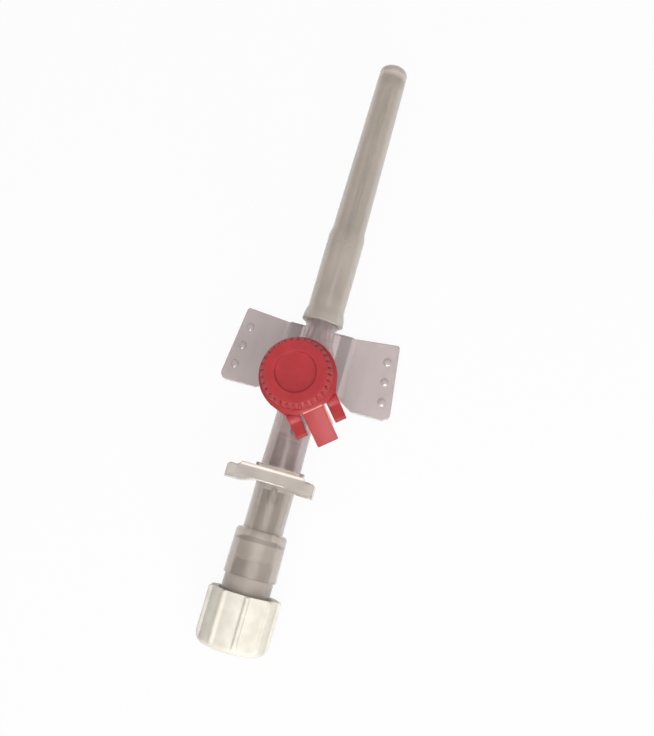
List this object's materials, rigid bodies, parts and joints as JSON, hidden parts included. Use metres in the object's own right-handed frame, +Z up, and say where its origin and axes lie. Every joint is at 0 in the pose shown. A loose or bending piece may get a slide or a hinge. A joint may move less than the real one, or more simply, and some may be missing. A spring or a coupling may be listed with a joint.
{
  "type": "intravenous cannula",
  "caption": "Winged intravenous cannula with knurled flip-lid injection port, needle with finger grip and flash chamber, ribbed stopper and long needle cover.",
  "frame": {"origin": "on the resting plane below the middle of the whole, hub axis above it", "axes": "+Y along the hub axis towards the needle tip, +Z up along the injection port"},
  "size_m": [0.0282, 0.0968, 0.019],
  "materials": {
    "hub_plastic": "translucent lilac-grey, smooth moulded",
    "catheter_plastic": "translucent, waxy",
    "bush_steel": "drawn",
    "valve_silicone": "soft, matt",
    "lid_plastic": "satin moulded",
    "needle_steel": "drawn and polished",
    "bond_resin": "clear cured bead",
    "grip_plastic": "translucent beige-grey, smooth moulded",
    "plug_plastic": "translucent beige-grey, smooth moulded",
    "filter_disc": "porous, matt",
    "stopper_plastic": "satin moulded",
    "cover_plastic": "translucent, waxy"
  },
  "bodies": {
    "hub": {"catheter_hub": "hub_plastic", "catheter_tube": "catheter_plastic", "fixing_bush": "bush_steel", "injection_valve": "valve_silicone"},
    "ring": {"port_ring": "lid_plastic"},
    "lid": {"port_cap": "lid_plastic"},
    "needle_set": {"needle": "needle_steel", "needle_bond": "bond_resin", "needle_hub": "grip_plastic", "flash_plug": "plug_plastic", "vent_filter": "filter_disc"},
    "stopper": {"luer_stopper": "stopper_plastic"},
    "cover": {"needle_cover": "cover_plastic"}
  },
  "joints": [
    {"name": "port_swivel", "type": "hinge", "parent": "hub", "child": "ring", "pos_m": [0, -0.00703, 0.0105], "axis": [0, 0, 1], "continuous": true},
    {"name": "lid_hinge", "type": "hinge", "parent": "ring", "child": "lid", "pos_m": [0.00509, -0.01321, 0.0122], "axis": [0.7716, 0.6361, 0], "range_deg": [0, 85]},
    {"name": "needle_slide", "type": "slide", "parent": "hub", "child": "needle_set", "axis": [0, -1, 0], "range_m": [0, 0.068]},
    {"name": "stopper_slide", "type": "slide", "parent": "needle_set", "child": "stopper", "axis": [0, -1, 0], "range_m": [0, 0.012]},
    {"name": "cover_slide", "type": "slide", "parent": "hub", "child": "cover", "axis": [0, 1, 0], "range_m": [0, 0.045]}
  ]
}
